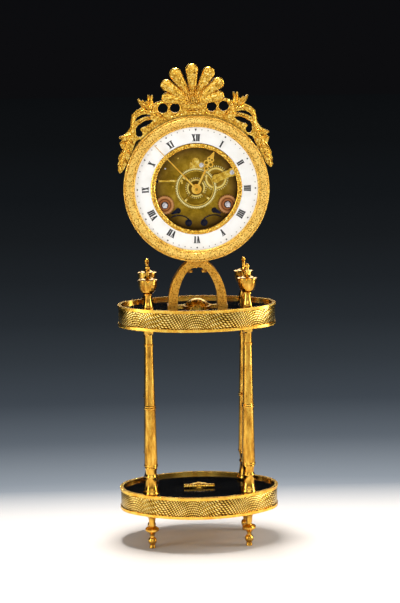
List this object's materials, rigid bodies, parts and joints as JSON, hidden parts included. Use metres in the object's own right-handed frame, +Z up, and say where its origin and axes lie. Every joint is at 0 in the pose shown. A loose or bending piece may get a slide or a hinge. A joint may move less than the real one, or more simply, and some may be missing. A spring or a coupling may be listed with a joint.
{
  "type": "table clock",
  "caption": "Gilt striking table clock: open round dial with enamel numeral ring on an arch over two oval tiers joined by turned columns, with urns and a pierced crest.",
  "frame": {"origin": "on the floor under the middle of the four feet", "axes": "+Z up, dial facing -Y, +X to the right of a viewer in front of the dial"},
  "size_m": [0.14, 0.086, 0.4192],
  "materials": {
    "gilt_bronze": "satin",
    "satin_brass": "satin",
    "copper_brass": "satin",
    "polished_steel": "polished",
    "blued_steel": "polished",
    "black_slab": "polished",
    "white_enamel": "gloss"
  },
  "bodies": {
    "stand": {"base_gallery": "gilt_bronze", "base_slab": "black_slab", "base_mount": "gilt_bronze", "feet": "gilt_bronze", "column_front_left": "gilt_bronze", "column_front_right": "gilt_bronze", "column_back_left": "gilt_bronze", "column_back_right": "gilt_bronze", "tie_rods": "polished_steel", "platform_gallery": "gilt_bronze", "platform_slab": "black_slab", "platform_mount": "gilt_bronze", "urn_front_left": "gilt_bronze", "urn_front_right": "gilt_bronze", "urn_back_left": "gilt_bronze", "urn_back_right": "gilt_bronze", "arch": "gilt_bronze", "arch_screws": "polished_steel", "drum": "gilt_bronze", "bezel": "gilt_bronze", "chapter_ring": "white_enamel", "inner_ring": "gilt_bronze", "dial_plate": "satin_brass", "crest_palmette": "gilt_bronze", "crest_scroll_left": "gilt_bronze", "crest_scroll_right": "gilt_bronze", "front_plate": "satin_brass", "back_plate": "satin_brass", "plate_pillars": "satin_brass", "movement_screws": "polished_steel", "motion_bridge": "satin_brass", "top_cock": "satin_brass", "click_springs": "blued_steel", "bell": "gilt_bronze", "bell_stand": "polished_steel", "suspension_cock": "satin_brass"},
    "hands_center": {"minute_hand": "gilt_bronze", "cannon_pinion": "copper_brass", "center_wheel": "satin_brass"},
    "hour": {"hour_hand": "gilt_bronze", "hour_wheel": "satin_brass"},
    "minute_wheel": {"minute_wheel": "satin_brass"},
    "second_wheel": {"second_wheel": "satin_brass"},
    "going_barrel": {"going_barrel": "satin_brass"},
    "third_wheel": {"third_wheel": "satin_brass"},
    "escape_wheel": {"escape_wheel": "satin_brass"},
    "anchor": {"anchor": "polished_steel"},
    "pendulum": {"pendulum": "gilt_bronze"},
    "going_winder": {"going_winder": "copper_brass"},
    "strike_winder": {"strike_winder": "copper_brass"},
    "going_click": {"going_click": "blued_steel"},
    "strike_click": {"strike_click": "blued_steel"},
    "lifting_lever": {"lifting_lever": "polished_steel"},
    "strike_barrel": {"strike_barrel": "satin_brass"},
    "strike_second": {"strike_second_wheel": "satin_brass", "count_wheel": "satin_brass"},
    "pin_wheel": {"pin_wheel": "satin_brass"},
    "locking_wheel": {"locking_wheel": "satin_brass"},
    "fly": {"fly": "satin_brass"},
    "hammer": {"hammer": "polished_steel"}
  },
  "joints": [
    {"name": "minute_hand_turn", "type": "hinge", "parent": "stand", "child": "hands_center", "pos_m": [0, 0, 0.3149], "axis": [0, 1, 0], "continuous": true},
    {"name": "hour_hand_turn", "type": "hinge", "parent": "stand", "child": "hour", "pos_m": [0, 0, 0.3149], "axis": [0, 1, 0], "continuous": true},
    {"name": "minute_wheel_turn", "type": "hinge", "parent": "stand", "child": "minute_wheel", "pos_m": [0.01697, 0, 0.32299], "axis": [0, 1, 0], "continuous": true},
    {"name": "second_wheel_turn", "type": "hinge", "parent": "stand", "child": "second_wheel", "pos_m": [0.00964, 0, 0.30188], "axis": [0, 1, 0], "continuous": true},
    {"name": "going_barrel_turn", "type": "hinge", "parent": "stand", "child": "going_barrel", "pos_m": [0.0267, 0, 0.3007], "axis": [0, 1, 0], "continuous": true},
    {"name": "third_wheel_turn", "type": "hinge", "parent": "stand", "child": "third_wheel", "pos_m": [0.00771, 0, 0.32725], "axis": [0, 1, 0], "continuous": true},
    {"name": "escape_wheel_turn", "type": "hinge", "parent": "stand", "child": "escape_wheel", "pos_m": [0, 0, 0.3374], "axis": [0, 1, 0], "continuous": true},
    {"name": "anchor_swing", "type": "hinge", "parent": "stand", "child": "anchor", "pos_m": [0, 0, 0.35211], "axis": [0, 1, 0], "range_deg": [-4, 4]},
    {"name": "pendulum_swing", "type": "hinge", "parent": "stand", "child": "pendulum", "pos_m": [0, 0, 0.35211], "axis": [0, 1, 0], "range_deg": [-4, 4]},
    {"name": "going_winding", "type": "hinge", "parent": "stand", "child": "going_winder", "pos_m": [0.0267, 0, 0.3007], "axis": [0, 1, 0], "continuous": true},
    {"name": "strike_winding", "type": "hinge", "parent": "stand", "child": "strike_winder", "pos_m": [-0.0267, 0, 0.3007], "axis": [0, 1, 0], "continuous": true},
    {"name": "going_click_lift", "type": "hinge", "parent": "stand", "child": "going_click", "pos_m": [0.0154, 0, 0.2957], "axis": [0, 1, 0], "range_deg": [0, 10], "stiffness_Nm_per_rad": 0.0005, "springref_deg": -17.19},
    {"name": "strike_click_lift", "type": "hinge", "parent": "stand", "child": "strike_click", "pos_m": [-0.0154, 0, 0.2957], "axis": [0, -1, 0], "range_deg": [0, 10], "stiffness_Nm_per_rad": 0.0005, "springref_deg": -17.19},
    {"name": "lifting_lever_lift", "type": "hinge", "parent": "stand", "child": "lifting_lever", "pos_m": [-0.0335, 0, 0.3211], "axis": [0, -1, 0], "range_deg": [0, 6]},
    {"name": "strike_barrel_turn", "type": "hinge", "parent": "stand", "child": "strike_barrel", "pos_m": [-0.0267, 0, 0.3007], "axis": [0, 1, 0], "continuous": true},
    {"name": "strike_second_turn", "type": "hinge", "parent": "stand", "child": "strike_second", "pos_m": [-0.01947, 0, 0.3162], "axis": [0, 1, 0], "continuous": true},
    {"name": "pin_wheel_turn", "type": "hinge", "parent": "stand", "child": "pin_wheel", "pos_m": [-0.01267, 0, 0.32798], "axis": [0, 1, 0], "continuous": true},
    {"name": "locking_wheel_turn", "type": "hinge", "parent": "stand", "child": "locking_wheel", "pos_m": [-0.0148, 0, 0.34003], "axis": [0, 1, 0], "continuous": true},
    {"name": "fly_turn", "type": "hinge", "parent": "stand", "child": "fly", "pos_m": [-0.02311, 0, 0.34483], "axis": [0, 1, 0], "continuous": true},
    {"name": "hammer_lift", "type": "hinge", "parent": "stand", "child": "hammer", "pos_m": [-0.02571, 0, 0.33147], "axis": [0, -1, 0], "range_deg": [0, 12], "stiffness_Nm_per_rad": 0.002, "springref_deg": -17.19}
  ],
  "couplings": [
    {"joint": "hour_hand_turn", "follows": "minute_hand_turn", "ratio": 0.083333},
    {"joint": "minute_wheel_turn", "follows": "minute_hand_turn", "ratio": -0.83333},
    {"joint": "second_wheel_turn", "follows": "minute_hand_turn", "ratio": -0.15385},
    {"joint": "going_barrel_turn", "follows": "minute_hand_turn", "ratio": 0.019231},
    {"joint": "third_wheel_turn", "follows": "minute_hand_turn", "ratio": -12},
    {"joint": "escape_wheel_turn", "follows": "minute_hand_turn", "ratio": 144},
    {"joint": "strike_second_turn", "follows": "pin_wheel_turn", "ratio": -0.11111},
    {"joint": "strike_barrel_turn", "follows": "pin_wheel_turn", "ratio": 0.013889},
    {"joint": "locking_wheel_turn", "follows": "pin_wheel_turn", "ratio": -8},
    {"joint": "fly_turn", "follows": "pin_wheel_turn", "ratio": 56},
    {"joint": "anchor_swing", "follows": "pendulum_swing", "ratio": 1}
  ]
}
